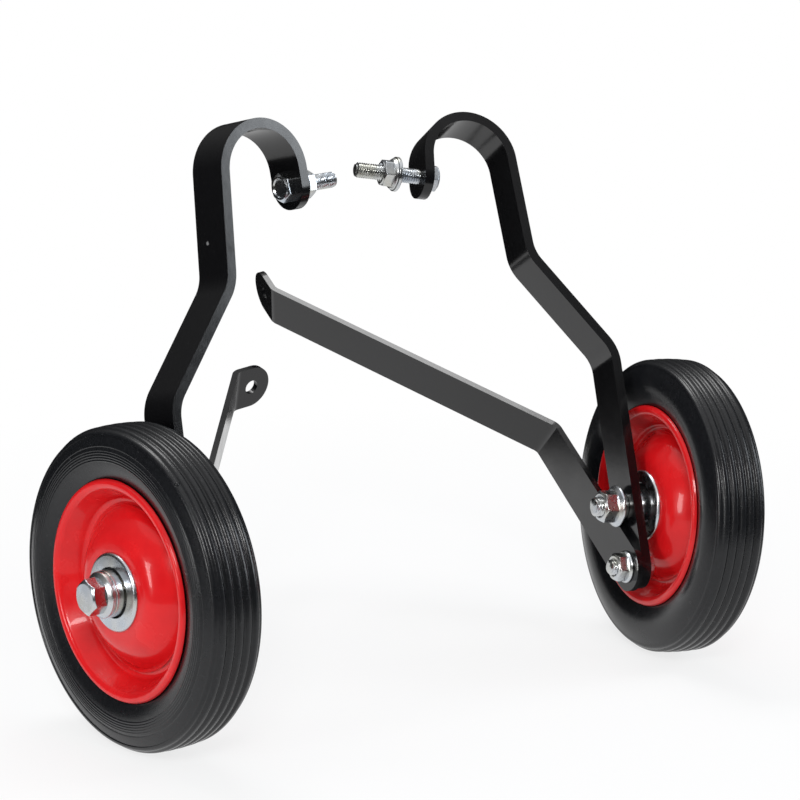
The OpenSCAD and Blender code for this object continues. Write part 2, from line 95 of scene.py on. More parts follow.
def newMaterial(name, **values):
    # a material whose sockets take the values given, with spaces for the underscores in their names
    mat = bpy.data.materials.new(name)
    mat.use_nodes = True
    shader = mat.node_tree.nodes["Principled BSDF"]
    for socket, value in values.items():
        shader.inputs[socket.replace("_", " ")].default_value = value
    return mat, mat.node_tree, shader


def noiseNode(tree, scale, detail=2.0, roughness=.5):
    # noise in the piece's own coordinates, with scale as its waves per metre
    coord = tree.nodes.new("ShaderNodeTexCoord")
    noise = tree.nodes.new("ShaderNodeTexNoise")
    noise.inputs["Scale"].default_value = scale
    noise.inputs["Detail"].default_value = detail
    noise.inputs["Roughness"].default_value = roughness
    tree.links.new(coord.outputs["Object"], noise.inputs["Vector"])
    return noise


def rampNode(tree, source, stops):
    # maps a value through stops of (place, grey or colour), with straight lines between them
    ramp = tree.nodes.new("ShaderNodeValToRGB")
    bar = ramp.color_ramp.elements
    while len(bar) < len(stops):
        bar.new(.5)
    for element, (place, value) in zip(bar, stops):
        element.position = place
        element.color = (value, value, value, 1) if np.isscalar(value) else (*value, 1)
    tree.links.new(source, ramp.inputs["Fac"])
    return ramp


def driveSocket(tree, shader, socket, noise, stops):
    # the noise sets one socket through a ramp
    ramp = rampNode(tree, noise.outputs["Fac"], stops)
    tree.links.new(ramp.outputs["Color"], shader.inputs[socket])
    return ramp


def addBump(tree, shader, noise, strength, distance):
    # the normal leans with the slope of the noise, which is as high as the distance in metres
    bump = tree.nodes.new("ShaderNodeBump")
    bump.inputs["Strength"].default_value = strength
    bump.inputs["Distance"].default_value = distance
    tree.links.new(noise.outputs["Fac"], bump.inputs["Height"])
    tree.links.new(bump.outputs["Normal"], shader.inputs["Normal"])


def distanceNode(tree, place):
    # how far a point is from a place, in metres
    coord = tree.nodes.new("ShaderNodeTexCoord")
    reach = tree.nodes.new("ShaderNodeVectorMath")
    reach.operation = "DISTANCE"
    reach.inputs[1].default_value = place
    tree.links.new(coord.outputs["Object"], reach.inputs[0])
    return reach


def mathNode(tree, operation, source, *values):
    # one step of arithmetic on a source, with the values as its other inputs in order
    node = tree.nodes.new("ShaderNodeMath")
    node.operation = operation
    tree.links.new(source, node.inputs[0])
    for i, value in enumerate(values, 1):
        node.inputs[i].default_value = value
    return node


chip = {"place": (-.0835, -.035, .2257), "reach": .0019, "grain": 1500, "grey": (.16, .16, .16, 1)}


def blackPaint():
    # thick gloss paint: a faint orange peel, with fine dust that dulls it in places
    mat, tree, shader = newMaterial("black_gloss_paint")
    shader.inputs["Specular IOR Level"].default_value = .46
    addBump(tree, shader, noiseNode(tree, 240, 2), .06, .0003)
    driveSocket(tree, shader, "Roughness", noiseNode(tree, 38, 5, .65), [(.3, .13), (.7, .22)])
    specks = noiseNode(tree, 1500, 1.0)
    tint = rampNode(tree, specks.outputs["Fac"], [(.76, (.004, .004, .0045)), (.82, (.03, .03, .032))])
    # one small chip, high on the left arm, where the distance to its place is under noise times its reach
    edge = mathNode(tree, "MULTIPLY_ADD", noiseNode(tree, chip["grain"], 2).outputs["Fac"], -chip["reach"])
    tree.links.new(distanceNode(tree, chip["place"]).outputs["Value"], edge.inputs[2])
    inside = mathNode(tree, "LESS_THAN", edge.outputs[0], 0)
    mix = tree.nodes.new("ShaderNodeMix")
    mix.data_type = "RGBA"
    tree.links.new(inside.outputs[0], mix.inputs["Factor"])
    tree.links.new(tint.outputs["Color"], mix.inputs[6])
    mix.inputs[7].default_value = chip["grey"]
    tree.links.new(mix.outputs[2], shader.inputs["Base Color"])
    return mat


def redPaint():
    # glossy red enamel over pressed steel, a little uneven
    mat, tree, shader = newMaterial("red_gloss_paint")
    shader.inputs["Specular IOR Level"].default_value = .2
    shader.inputs["Coat Weight"].default_value = .3
    shader.inputs["Coat Roughness"].default_value = .04
    flow = noiseNode(tree, 45, 4, .6)
    driveSocket(tree, shader, "Base Color", flow, [(.3, (.56, .006, .009)), (.7, (.68, .010, .012))])
    driveSocket(tree, shader, "Roughness", flow, [(.3, .2), (.7, .3)])
    addBump(tree, shader, noiseNode(tree, 260, 2), .07, .0005)
    return mat


def tyreRubber():
    # satin solid rubber: cloudy sheen, fine moulding grain and a few pale dust specks
    mat, tree, shader = newMaterial("tyre_rubber")
    shader.inputs["Specular IOR Level"].default_value = .36
    driveSocket(tree, shader, "Roughness", noiseNode(tree, 30, 6, .62), [(.3, .19), (.72, .31)])
    driveSocket(tree, shader, "Base Color", noiseNode(tree, 620, 2, .6),
                [(.3, (.005, .0055, .0065)), (.7, (.009, .0095, .011)), (.79, (.05, .05, .05))])
    addBump(tree, shader, noiseNode(tree, 1900, 3, .6), .22, .0002)
    return mat


def zincPlate(name, tint, roughLow, roughHigh):
    # bright zinc plate: metal with a cloudy sheen, warm and cool tints and a very fine grain
    mat, tree, shader = newMaterial(name, Metallic=1.0)
    driveSocket(tree, shader, "Roughness", noiseNode(tree, 160, 4, .6), [(.3, roughLow), (.7, roughHigh)])
    warm = tuple(c * f for c, f in zip(tint, (.98, .95, .86)))
    cool = tuple(c * f for c, f in zip(tint, (.93, .98, 1.04)))
    driveSocket(tree, shader, "Base Color", noiseNode(tree, 70, 2), [(.35, warm), (.5, tint), (.65, cool)])
    addBump(tree, shader, noiseNode(tree, 2600, 2), .08, .0001)
    return mat


def sealRubber():
    # dull black rubber with a fine grain
    mat, tree, shader = newMaterial("seal_rubber", Base_Color=(.02, .02, .021, 1), Roughness=.62)
    addBump(tree, shader, noiseNode(tree, 900, 3), .2, .0002)
    return mat


finish = {
    "black_paint": blackPaint(),
    "red_paint": redPaint(),
    "tyre_rubber": tyreRubber(),
    "seal_rubber": sealRubber(),
    "zinc_plate": zincPlate("zinc_plate", (.57, .59, .61), .2, .34),
    "bearing_steel": zincPlate("bearing_steel", (.56, .56, .57), .2, .32),
}
print("materials made")

# How many points go once round each kind of round piece
around = {"tyre": 220, "rim": 192, "cap": 128, "collar": 96, "bolt": 96, "hole": 64, "pip": 32, "curtain": 64}


def addMesh(name, points, faces, unit, node, body, slot, sharp=30):
    # a piece from a unit's own points: it stands in for a node if one is named, and rides its body
    mesh = bpy.data.meshes.new(name)
    mesh.from_pydata(setInPlace(points, unit).tolist(), [], faces)
    mesh.materials.append(finish[slot])
    obj = bpy.data.objects.new(name, mesh)
    bpy.context.scene.collection.objects.link(obj)
    pointOutwards(mesh)
    smooth(mesh, sharp)
    if node:
        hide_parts(unit + "_" + node)
    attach(obj, body if body == "root" else unit + "_" + body)
    return obj


def pointOutwards(mesh):
    # a closed skin has a positive volume when its faces point outwards
    mesh.calc_loop_triangles()
    corners = np.empty(len(mesh.loop_triangles) * 3, np.int32)
    mesh.loop_triangles.foreach_get("vertices", corners)
    place = np.empty(len(mesh.vertices) * 3)
    mesh.vertices.foreach_get("co", place)
    p = place.reshape(-1, 3)[corners].reshape(-1, 3, 3)
    if np.einsum("ij,ij->i", p[:, 0], np.cross(p[:, 1], p[:, 2])).sum() < 0:
        mesh.flip_normals()


def smooth(mesh, sharp):
    # smooth shading, apart from edges that bend by more than the sharp angle
    mesh.polygons.foreach_set("use_smooth", np.ones(len(mesh.polygons), bool))
    mesh.set_sharp_from_angle(angle=np.radians(sharp))


def gridFaces(rows, cols, closeRows=False):
    # quads between neighbouring rows, closed round the columns and, if asked, from last row to first
    r = np.arange(rows if closeRows else rows - 1)[:, None]
    c = np.arange(cols)[None, :]
    r2, c2 = (r + 1) % rows, (c + 1) % cols
    quads = np.stack([r * cols + c, r * cols + c2, r2 * cols + c2, r2 * cols + c], -1)
    return quads.reshape(-1, 4).tolist()


def endFaces(rows, cols):
    # one face over the first row, and one over the last row that looks the other way
    return [list(range(cols)), list(range(rows * cols - 1, (rows - 1) * cols - 1, -1))]


def turnedPoints(radius, x, count):
    # every point of the profile is carried once round the x axis
    a = np.linspace(0, 2 * np.pi, count, endpoint=False)[None, :]
    r, h = radius[:, None], x[:, None]
    return np.stack(np.broadcast_arrays(h, r * np.sin(a), r * np.cos(a)), -1)


def roundedCorners(corners, radius, parts):
    # each corner of a closed outline becomes a quadratic curve, which starts and ends the radius away
    # from the corner, or nearer where a side is short
    p = np.asarray(corners, float)
    back, on = np.roll(p, 1, 0) - p, np.roll(p, -1, 0) - p
    lb, lo = np.linalg.norm(back, axis=1), np.linalg.norm(on, axis=1)
    cut = np.minimum(radius, .45 * np.minimum(lb, lo))
    a, b = p + back / lb[:, None] * cut[:, None], p + on / lo[:, None] * cut[:, None]
    t = np.linspace(0, 1, parts + 1)[None, :, None]
    arcs = (1 - t) ** 2 * a[:, None] + 2 * t * (1 - t) * p[:, None] + t ** 2 * b[:, None]
    return arcs.reshape(-1, 2)


def addTurned(name, outline, unit, node, body, slot, count, sharp):
    # a closed outline of (radius, x) turned about the axle
    points = turnedPoints(outline[:, 0], outline[:, 1], count)
    return addMesh(name, points.reshape(-1, 3), gridFaces(len(outline), count, True),
                   unit, node, body, slot, sharp)


arm = {
    "width": .023, "thick": .005, "edge": .0009,
    "kneeUp": .0816, "kneeTurn": 38.0, "slope": .0667, "topLean": 3.7, "bend": .02,
    "top": .0536, "hookRadius": .0212, "hookTurn": 172.0, "tail": .0088,
    "axleHole": .0105, "boltHole": .0085,
}
finestTurn = 2.0  # the most degrees between two rings in a bend

# Each brace's steps are (straight, turn, bend's radius, slant), in metres and degrees
braces = {
    "left": {"swing": 59.0, "tab": .0086, "steps": [(.0172, 43.3, .008, -9), (.2294, 44.4, .008, 0)]},
    "right": {"swing": 38.0, "tab": .0107, "steps": [(.109, 39.0, .008, 23.5), (.187, -29.1, .008, 0)]},
}
brace = {"width": .025, "thick": .0032, "edge": .0006, "x": -.0042, "pinHole": .0081, "tabHole": .0085}


def armSteps():
    # the arm's straights and bends from foot to hook, each straight less what the bends take off it,
    # which is the bend's radius times the tangent of half its turn
    turn = arm["kneeTurn"] - arm["topLean"]
    kneeCut = arm["bend"] * np.tan(np.radians(arm["kneeTurn"] / 2))
    topCut = arm["bend"] * np.tan(np.radians(turn / 2))
    return [
        (boltDrop + arm["kneeUp"] - kneeCut, arm["kneeTurn"], arm["bend"], 0),
        (arm["slope"] - kneeCut - topCut, -turn, arm["bend"], 0),
        (arm["top"] - topCut, arm["hookTurn"], arm["hookRadius"] + arm["thick"] / 2, 0),
    ]


def barPlaces(steps, tail):
    # walks along the bar's middle line: straights move ahead, and bends turn about a line that lies
    # across the bar, slanted where the bend is. Gives the place, across, ahead and slant of each ring.
    p, across, ahead = np.zeros(3), np.array([0., 1, 0]), np.array([0., 0, 1])
    rings = [(p, across, ahead, 0.0)]
    for length, turn, radius, slant in steps:
        p = p + length * ahead
        n = np.cross(across, ahead)
        s, c = np.radians(slant), np.sign(turn) * radius
        axis, t = np.cos(s) * across + np.sin(s) * ahead, np.cos(s) * ahead - np.sin(s) * across
        shift = np.radians(abs(turn)) * radius * np.tan(s)
        for share in np.linspace(0, 1, int(abs(turn) / finestTurn) + 2):
            a = np.radians(turn) * share
            n2, t2 = np.cos(a) * n + np.sin(a) * t, np.cos(a) * t - np.sin(a) * n
            place = p - c * n + c * n2 + share * shift * axis
            across = np.cos(s) * axis - np.sin(s) * t2
            ahead = np.sin(s) * axis + np.cos(s) * t2
            rings.append((place, across, ahead, np.tan(s)))
        p = place
    rings.append((p + tail * ahead, across, ahead, 0.0))
    return rings


def barPoints(rings, width, thick):
    # a rectangle at each place; at both ends its width follows a half circle round the last place
    a = np.radians(np.arange(2.5, 90, 5))  # every 5 degrees of the half circle, from its tip
    first, last = rings[0], rings[-1]
    ends = [(first[0] - width / 2 * np.cos(x) * first[2], *first[1:], np.sin(x)) for x in a]
    tips = [(last[0] + width / 2 * np.cos(x) * last[2], *last[1:], np.sin(x)) for x in a[::-1]]
    whole = ends + [(*r, 1.0) for r in rings] + tips
    place, across, ahead = (np.array([w[i] for w in whole]) for i in range(3))
    slant, share = (np.array([w[i] for w in whole])[:, None, None] for i in (3, 4))
    through = np.cross(across, ahead)[:, None]
    x = np.array([1, 1, -1, -1])[None, :, None] * thick / 2
    y = np.array([-1, 1, 1, -1])[None, :, None] * share * width / 2
    return place[:, None] + x * through + y * (across[:, None] + slant * ahead[:, None])


drillDepth = .012  # half the length of the cylinder that cuts a hole


def drill(obj, holes, unit):
    # a hole is cut with a many-sided cylinder set along the hole's direction
    anyOther = [.3, .5, .8]
    count = around["hole"]
    for place, direction, diameter in holes:
        d = direction / np.linalg.norm(direction)
        e = np.cross(d, anyOther)
        e /= np.linalg.norm(e)
        f = np.cross(d, e)
        a = np.linspace(0, 2 * np.pi, count, endpoint=False)[:, None]
        ring = diameter / 2 * (np.cos(a) * e + np.sin(a) * f)
        pts = np.vstack([place + ring - drillDepth * d, place + ring + drillDepth * d])
        faces = gridFaces(2, count) + endFaces(2, count)
        mesh = bpy.data.meshes.new("drill")
        mesh.from_pydata(setInPlace(pts, unit).tolist(), [], faces)
        pointOutwards(mesh)
        cutter = bpy.data.objects.new("drill", mesh)
        bpy.context.scene.collection.objects.link(cutter)
        cut = obj.modifiers.new("hole", "BOOLEAN")
        cut.operation = "DIFFERENCE"
        cut.solver = "EXACT"
        cut.object = cutter
        applyModifiers(obj)
        bpy.data.objects.remove(cutter)


def applyModifiers(obj):
    # the object's mesh becomes what its modifiers make of it
    graph = bpy.context.evaluated_depsgraph_get()
    mesh = bpy.data.meshes.new_from_object(obj.evaluated_get(graph))
    obj.modifiers.clear()
    obj.data = mesh


def roundEdges(obj, width):
    # every edge sharper than 40 degrees is rounded
    bevel = obj.modifiers.new("edges", "BEVEL")
    bevel.width = width
    bevel.segments = 3
    bevel.limit_method = "ANGLE"
    bevel.angle_limit = np.radians(40)
    bevel.harden_normals = True
    bevel.use_clamp_overlap = True
    applyModifiers(obj)


def addBar(name, rings, shift, tilt, holes, unit, node, body, sizes):
    # the bar is tilted and shifted in its unit, then drilled, and then its edges are rounded
    points = barPoints(rings, sizes["width"], sizes["thick"]) @ tilt + shift
    rows = len(points)
    faces = gridFaces(rows, 4) + endFaces(rows, 4)
    obj = addMesh(name, points.reshape(-1, 3), faces, unit, node, body, "black_paint")
    drill(obj, holes, unit)
    roundEdges(obj, sizes["edge"])
    return obj


out = np.array([1., 0, 0])
foot = np.array([0, 0, -boltDrop])


def hookPlace():
    # the middle of the hook's tail hole, the way its bolt points, and the way the tail points
    place, across, ahead, slant = barPlaces(armSteps(), arm["tail"])[-1]
    return place + foot, np.cross(across, ahead), ahead


def makeArm(unit):
    # its holes are for the axle, the brace bolt and the hook bolt
    place, direction, ahead = hookPlace()
    holes = [(np.zeros(3), out, arm["axleHole"]), (foot, out, arm["boltHole"]),
             (place, direction, arm["boltHole"])]
    rings = barPlaces(armSteps(), arm["tail"])
    return addBar(unit + "_arm_bar", rings, foot, np.eye(3), holes, unit, "arm", "root", arm)


def makeBrace(unit):
    # the brace starts up along its bolt's hole, and swings back about the bolt
    own = braces[unit]
    rings = barPlaces(own["steps"], own["tab"])
    place, across, ahead, slant = rings[-1]
    tilt = turnMatrix("X", -own["swing"]).T
    pin = np.array([brace["x"], 0, -boltDrop])
    holes = [(pin, out, brace["pinHole"]),
             (place @ tilt + pin, np.cross(across, ahead) @ tilt, brace["tabHole"])]
    return addBar(unit + "_brace_bar", rings, pin, tilt, holes, unit, "brace", "brace", brace)


for unit in units:
    makeArm(unit)
    makeBrace(unit)
print("bars made")

# The tyre's seat is (radius at the middle plane, slope), lines are the radii of its raised rings, and
# its seam is (radius, width, depth)
tyre = {
    "radius": .0762, "treadHalf": .0115, "ribs": 5, "groove": .0012, "crown": .0007,
    "shoulder": .072, "shoulderHalf": .0135, "bulge": .0024,
    "seat": (.042448, .60393), "notch": .01135, "soft": .0002, "sideRadius": .05245, "sideHalf": .0125,
    "lines": (.0606, .0618, .063, .0642, .0654), "lineHeight": .00022, "lineWidth": .0005,
    "seam": (.0668, .0007, .0003), "sidePoints": 90, "treadPoints": 60,
}
rim = {
    "thick": .0016, "parts": 9,
    "corners": [(.01705, .0144), (.0255, .0144), (.0345, .0082), (.0405, -.00079),
                (.0479, .0144), (.0513, .0144), (.0522, .0125)],
    "radii": [.012, .035, .003, .0035, .0017],
}
cap = {"thick": .0012, "parts": 10, "corners": [(.01175, .0161), (.0185, .0161), (.0185, .0144)],
       "radii": [.0015]}


def arcPath(corners, radii, parts):
    # a path of straight lines whose inner corners are circle arcs touching both lines
    c = np.asarray(corners, float)
    a, b, d = c[:-2], c[1:-1], c[2:]
    r = np.asarray(radii, float)[:, None]
    u = (a - b) / np.linalg.norm(a - b, axis=1, keepdims=True)
    v = (d - b) / np.linalg.norm(d - b, axis=1, keepdims=True)
    half = np.arccos(np.sum(u * v, 1, keepdims=True)) / 2
    mid = (u + v) / np.linalg.norm(u + v, axis=1, keepdims=True)
    centre = b + mid * r / np.sin(half)
    p, q = b + u * r / np.tan(half) - centre, b + v * r / np.tan(half) - centre
    start = np.arctan2(p[:, 1], p[:, 0])[:, None]
    sweep = (np.arctan2(q[:, 1], q[:, 0])[:, None] - start + np.pi) % (2 * np.pi) - np.pi
    t = start + sweep * np.linspace(0, 1, parts)[None, :]
    arcs = centre[:, None] + r[:, None] * np.stack([np.cos(t), np.sin(t)], -1)
    return np.vstack([c[:1], arcs.reshape(-1, 2), c[-1:]])


def sheetOutline(path, thick):
    # a pressed sheet: the path, and back along the path moved by the thickness, with softened ends
    edge = .0003
    d = np.gradient(path, axis=0)
    d /= np.linalg.norm(d, axis=1, keepdims=True)
    back = path + thick * np.stack([d[:, 1], -d[:, 0]], -1)
    first, last = d[0] * edge, d[-1] * edge
    inner = np.vstack([path[0] + first, path[1:-1], path[-1] - last])
    outer = np.vstack([back[0] + first, back[1:-1], back[-1] - last])
    tip = path[-1] + (back[-1] - path[-1]) * np.array([[.25], [.75]])
    root = path[0] + (back[0] - path[0]) * np.array([[.75], [.25]])
    return np.vstack([inner, tip, outer[::-1], root])


def tyreHalf(ringed):
    # seat and notch on the rim, a bulged side with fine raised rings if asked, a round shoulder and
    # a ribbed tread
    s = np.linspace(0, 1, tyre["sidePoints"])
    side = np.stack([tyre["sideRadius"] + s * (tyre["shoulder"] - tyre["sideRadius"]),
                     tyre["sideHalf"] + s * (tyre["shoulderHalf"] - tyre["sideHalf"])
                     + tyre["bulge"] * np.sin(np.pi * s)], -1)
    for line in tyre["lines"] if ringed else ():
        lift = np.exp(-((side[:, 0] - line) / (tyre["lineWidth"] / 2)) ** 2)
        side[:, 1] += tyre["lineHeight"] * (lift - .3)  # the whole side sinks a little for each ring
    seam, width, depth = tyre["seam"]
    side[:, 1] -= ringed * depth * np.exp(-((side[:, 0] - seam) / (width / 2)) ** 2)
    edge = tyre["radius"] - tyre["crown"] - tyre["groove"]
    a = np.radians(np.arange(4, 88, 4))
    shoulder = np.stack([tyre["shoulder"] + (edge - tyre["shoulder"]) * np.sin(a),
                         tyre["treadHalf"] + (tyre["shoulderHalf"] - tyre["treadHalf"]) * np.cos(a)], -1)
    h = np.linspace(tyre["treadHalf"], 0, tyre["treadPoints"])
    pitch = 2 * tyre["treadHalf"] / tyre["ribs"]
    tread = np.stack([tyre["radius"] - tyre["crown"] * (h / tyre["treadHalf"]) ** 2
                      - tyre["groove"] * np.abs(np.sin(np.pi * h / pitch)) ** 4, h], -1)
    start, slope = tyre["seat"]
    notch, soft, heel = tyre["notch"], tyre["soft"], start + slope * tyre["notch"]
    seat = [(heel, notch - soft), (heel + soft, notch),
            (tyre["sideRadius"] - 1.5 * soft, notch), (tyre["sideRadius"], notch + 2 * soft)]
    return np.vstack([[(start, 0)], seat, side, shoulder, tread])


def onWheel(outline, side=1):
    # an outline about the wheel's middle plane is set on the axle, or mirrored to the arm's side
    return np.stack([outline[:, 0], hubX + side * outline[:, 1]], -1)


def makeWheel(unit):
    # the outer side has the rings, and the side towards the arm is plain
    whole = np.vstack([tyreHalf(True), tyreHalf(False)[-2:0:-1] * np.array([1, -1])])
    addTurned(unit + "_tyre_rubber", onWheel(whole), unit, "tyre", "wheel", "tyre_rubber",
              around["tyre"], 60)
    dish = sheetOutline(arcPath(rim["corners"], rim["radii"], rim["parts"]), rim["thick"])
    cover = sheetOutline(arcPath(cap["corners"], cap["radii"], cap["parts"]), cap["thick"])
    for place, side in (("outer", 1), ("inner", -1)):
        addTurned(f"{unit}_rim_dish_{place}", onWheel(dish, side), unit, f"rim_{place}_half", "wheel",
                  "red_paint", around["rim"], 50)
        addTurned(f"{unit}_cap_{place}", onWheel(cover, side), unit, f"dust_cap_{place}", "wheel",
                  "zinc_plate", around["cap"], 40)


pip = {"unit": "left", "radius": .07415, "x": .01221, "turn": -48.7, "wide": .0015, "high": .0009,
       "sunk": .0003, "outward": (.4, .916), "rows": 10}


def makePip():
    # a moulding pip on the tyre's shoulder: a low dome with a flared foot, height falling as a cosine
    a = np.radians(pip["turn"])
    rows, count = pip["rows"], around["pip"]
    sideways, radially = pip["outward"]
    outward = np.array([sideways, radially * np.sin(a), radially * np.cos(a)])
    outward /= np.linalg.norm(outward)
    along = np.array([0, np.cos(a), -np.sin(a)])
    side = np.cross(outward, along)
    place = np.array([hubX + pip["x"], pip["radius"] * np.sin(a), pip["radius"] * np.cos(a)])
    t = np.linspace(.02, 1, rows)[:, None]
    b = np.linspace(0, 2 * np.pi, count, endpoint=False)[None, :]
    reach = pip["wide"] * t
    height = pip["high"] * (.5 + .5 * np.cos(np.pi * t ** 1.4)) - pip["sunk"] * t
    points = (place + (reach * np.cos(b))[..., None] * along + (reach * np.sin(b))[..., None] * side
              + np.broadcast_to(height, (rows, count))[..., None] * outward)
    faces = gridFaces(rows, count) + endFaces(rows, count)
    addMesh("left_tyre_pip", points.reshape(-1, 3), faces, pip["unit"], None, "wheel", "tyre_rubber")


makePip()
for unit in units:
    makeWheel(unit)
print("wheels made")

collarEdge = .00035
# Collars and washers on the axle, as outlines of (radius, x from the wheel's middle plane)
turned = {
    "outboard_spacer": [(.00505, .0141), (.0082, .0141), (.0082, .0165), (.011, .0165), (.011, .0204),
                        (.00505, .0204)],
    "axle_washer": [(.00525, .0204), (.0105, .0204), (.0105, .0216), (.00525, .0216)],
    "inboard_spacer": [(.00505, -.0141), (.0082, -.0141), (.0082, -.021), (.00505, -.021)],
    "nut_collar": [(.00505, -.026), (.007, -.026), (.007, -.0297), (.00505, -.0297)],
}
for unit in units:
    for node, corners in turned.items():
        outline = roundedCorners(corners, collarEdge, 4)
        addTurned(unit + "_" + node + "_part", onWheel(outline), unit, node, "root", "zinc_plate",
                  around["collar"], 25)
print("collars made")

smallBolt = {"across": .013, "head": .0053, "flange": 0, "size": .008, "plain": .002, "pitch": .00125}
bolts = {
    "axle_bolt": {"across": .015, "head": .0092, "flange": .0215, "size": .01, "length": .065,
                  "plain": .042, "pitch": .0015, "cut": .0008, "dish": 0},
    "brace_bolt": {**smallBolt, "length": .0184, "cut": .0007, "dish": .0006},
    "left_hook_bolt": {**smallBolt, "length": .03, "cut": .0006, "dish": .001},
    "right_hook_bolt": {**smallBolt, "length": .04, "cut": .0007, "dish": .001},
}
nuts = {
    "axle_nut": {"across": .015, "height": .01, "flange": .0215, "bore": .00505},
    "small_nut": {"across": .013, "height": .0074, "flange": .0166, "bore": .00405},
}
hookWasher = {"radius": .009, "bore": .00405, "thick": .0018, "edge": .0003}
nutBack = {"left": 0, "right": .0116}
# Where the fasteners' seats are, from the middle of the arm's foot outwards
seats = {"axle_bolt": hubX + .0216, "axle_nut": -.0062, "brace_nut": -.0059, "face": arm["thick"] / 2}

tiny = .0002  # the radius at which a closed end stops short of the axis
softness = .00012  # how much the hexagons' edges are rounded


def hexRadius(a, across, envelope):
    # the smooth minimum of the six flats, each half the size over the cosine, and a turned envelope
    flats = np.radians(30 + 60 * np.arange(6))
    turn = np.cos(a[..., None] - flats)
    reach = np.where(turn > .2, across / 2 / np.maximum(turn, .2), 1.0)
    reach = np.concatenate([reach, envelope[..., None]], -1)
    low = reach.min(-1, keepdims=True)
    return (low - softness * np.log(np.exp(-(reach - low) / softness).sum(-1, keepdims=True)))[..., 0]


def headRows(across, height, flange, dish, bore):
    # rows of (radius, height, is it a hexagon) from the middle of the top down to the seat. Most radii
    # are shares of the size across the flats, whose corners lie just inside a share of .6
    if bore:
        rows = [(bore, height - .0009, 0), (bore + .0008, height, 0)]
    else:
        rows = [(tiny, height - dish, 0)]
    if dish:
        rows += [(across * r, height - dish * z, 0) for r, z in ((.27, 1), (.33, .8), (.37, .1))]
    rows += [(across * .40, height, 0), (across * .43, height, 0)]
    # the chamfer falls slowly to the flats' inner circle, and then down to their corners
    z = np.linspace(0, 1, 12)
    shelf, drop, corner = height - .0005, across * .06, across * .6
    rows += [(across * (.44 + .04 * k), height + (shelf - height) * k, 1) for k in z[:5]]
    rows += [(across * (.48 + .12 * k), shelf - drop * k, 1) for k in z[1:]]
    if not flange:
        return rows + [(corner, (shelf - drop) * k, 1) for k in (.6, .3, .06)] + [(across * .565, 0, 1)]
    low, neck, edge = height * .26, across * .575, flange / 2
    lip = low * .4
    rows += [(corner, low + (shelf - drop - low) * k, 1) for k in (.6, .3, .1, 0)]
    rows += [(neck + (edge - neck) * k, low + (lip - low) * k, 0) for k in (0, .35, .7, .93)]
    rows += [(edge, lip * .8, 0), (edge, lip * .35, 0)]
    return rows + [(edge - .0002, lip * .08, 0), (edge - .0005, 0, 0)]


def addFastener(name, rows, across, unit, node, place, direction, corner, thread=None, ring=False):
    # rows run down the outline; hexagon rows are cut by the flats, and thread rows by a helix
    rows = np.array(rows)
    count = around["bolt"]
    a = np.broadcast_to(np.linspace(0, 2 * np.pi, count, endpoint=False), (len(rows), count))
    radius = np.broadcast_to(rows[:, :1], a.shape)
    radius = np.where(rows[:, 2:3] == 1, hexRadius(a, across, radius), radius)
    z = rows[:, 1:2]
    if thread:
        # the wave climbs one pitch a turn, and its cut fades in over the first millimetre
        wave = np.abs((z / thread["pitch"] + a / (2 * np.pi)) % 1 * 2 - 1)
        cut = thread["cut"] * np.clip(1.25 * wave - .1, 0, 1)
        run = np.clip((-z - thread["plain"]) / .001, 0, 1) * (rows[:, 2:3] == 2)
        radius = np.maximum(radius - cut * run * np.clip((radius - .002) / .001, 0, 1), tiny)
    side = np.cross(direction, corner)
    points = (place + z[..., None] * direction + radius[..., None]
              * (np.cos(a)[..., None] * corner + np.sin(a)[..., None] * side))
    faces = gridFaces(len(rows), count, ring)
    if not ring:
        faces += endFaces(len(rows), count)
    return addMesh(name, points.reshape(-1, 3), faces, unit, node, "root", "zinc_plate", 34)


def boltRows(b):
    # the head, and the shank in eight rows to each pitch of its thread, with a cone at the end
    rows = headRows(b["across"], b["head"], b["flange"], b["dish"], 0)
    r, n = b["size"] / 2, b["length"]
    steps = np.linspace(b["plain"], n - .0011, int((n - b["plain"]) / b["pitch"] * 8))
    rows += [(r, -.00005, 2)] + [(r, -k, 2) for k in steps]
    rows += [(r - .001 * k, -(n - .001 + .001 * k), 2) for k in np.linspace(0, 1, 6)]
    return rows + [(tiny, -n, 0)]


def nutRows(n):
    # a hexagon with a bore, closed by a small chamfer at its seat
    rows = headRows(n["across"], n["height"], n["flange"], 0, n["bore"])
    return rows + [(n["bore"] + .0004, 0, 0), (n["bore"], .0004, 0)]


